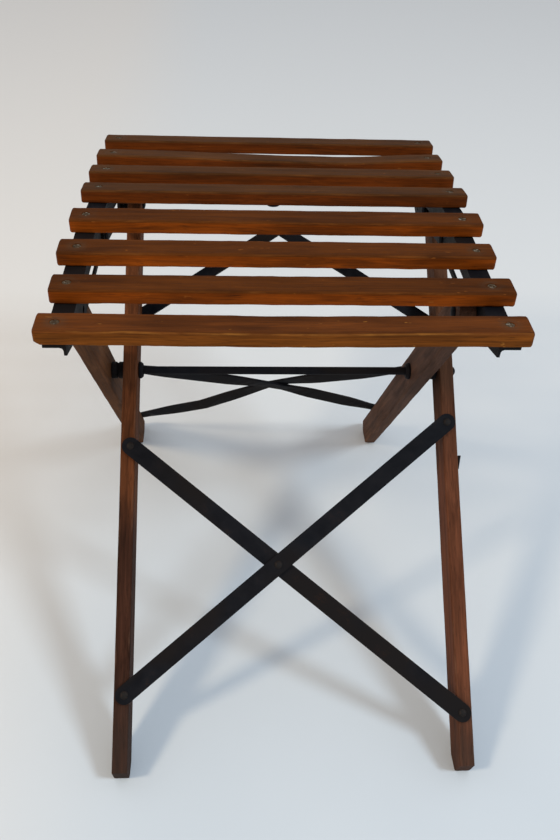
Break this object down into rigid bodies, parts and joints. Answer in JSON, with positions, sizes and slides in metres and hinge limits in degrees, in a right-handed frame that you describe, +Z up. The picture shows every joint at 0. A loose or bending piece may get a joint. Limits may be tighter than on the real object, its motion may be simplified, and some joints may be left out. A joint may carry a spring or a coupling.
{
  "type": "folding stool",
  "caption": "Folding camp stool with crossed wooden legs, flat iron cross braces, and a slatted wooden seat in two hinged halves on iron angle rails.",
  "frame": {"origin": "on the floor, under the middle of the open stool", "axes": "+X along the slats to the right as seen from the front, +Y to the rear, +Z up"},
  "size_m": [0.3722, 0.5382, 0.4278],
  "materials": {
    "slat_wood": "worn brown varnish",
    "leg_wood": "worn dark brown varnish",
    "black_iron": "black paint with rust at the rivets",
    "screw_steel": "dull"
  },
  "bodies": {
    "front_leg_frame": {"front_leg_left": "leg_wood", "front_leg_right": "leg_wood", "front_brace_falling": "black_iron", "front_brace_rising": "black_iron", "upper_brace_left": "black_iron", "upper_brace_right": "black_iron", "pivot_rod": "black_iron", "pivot_spacer_left": "black_iron", "pivot_spacer_right": "black_iron", "pivot_collar_left": "black_iron", "pivot_collar_right": "black_iron", "rear_seat_pin_left": "black_iron", "rear_seat_pin_right": "black_iron", "rear_seat_spacer_left": "black_iron", "rear_seat_spacer_right": "black_iron", "leg_lug": "black_iron"},
    "rear_leg_frame": {"rear_leg_left": "leg_wood", "rear_leg_right": "leg_wood", "rear_brace_falling": "black_iron", "rear_brace_rising": "black_iron", "front_seat_stud_left": "black_iron", "front_seat_stud_right": "black_iron"},
    "rear_seat": {"rear_rail_left": "black_iron", "rear_rail_right": "black_iron", "rear_slat_1": "slat_wood", "rear_slat_2": "slat_wood", "rear_slat_3": "slat_wood", "rear_slat_4": "slat_wood", "rear_screw_1_left": "screw_steel", "rear_screw_1_right": "screw_steel", "rear_screw_2_left": "screw_steel", "rear_screw_2_right": "screw_steel", "rear_screw_3_left": "screw_steel", "rear_screw_3_right": "screw_steel", "rear_screw_4_left": "screw_steel", "rear_screw_4_right": "screw_steel", "ridge_pin_left": "black_iron", "ridge_pin_right": "black_iron"},
    "front_seat": {"front_rail_left": "black_iron", "front_rail_right": "black_iron", "front_slat_1": "slat_wood", "front_slat_2": "slat_wood", "front_slat_3": "slat_wood", "front_slat_4": "slat_wood", "front_screw_1_left": "screw_steel", "front_screw_1_right": "screw_steel", "front_screw_2_left": "screw_steel", "front_screw_2_right": "screw_steel", "front_screw_3_left": "screw_steel", "front_screw_3_right": "screw_steel", "front_screw_4_left": "screw_steel", "front_screw_4_right": "screw_steel"}
  },
  "joints": [
    {"name": "leg_fold", "type": "hinge", "parent": "front_leg_frame", "child": "rear_leg_frame", "pos_m": [0, 0.0362, 0.2505], "axis": [1, 0, 0], "range_deg": [-88, 0]},
    {"name": "rear_seat_turn", "type": "hinge", "parent": "front_leg_frame", "child": "rear_seat", "pos_m": [0, 0.17735, 0.36603], "axis": [1, 0, 0], "range_deg": [-126.6, 0]},
    {"name": "ridge_turn", "type": "hinge", "parent": "rear_seat", "child": "front_seat", "pos_m": [0, 0.05036, 0.39237], "axis": [1, 0, 0], "range_deg": [0, 165.2]}
  ],
  "couplings": [
    {"joint": "rear_seat_turn", "follows": "leg_fold", "ratio": 1.4383},
    {"joint": "ridge_turn", "follows": "leg_fold", "ratio": -1.8767}
  ]
}
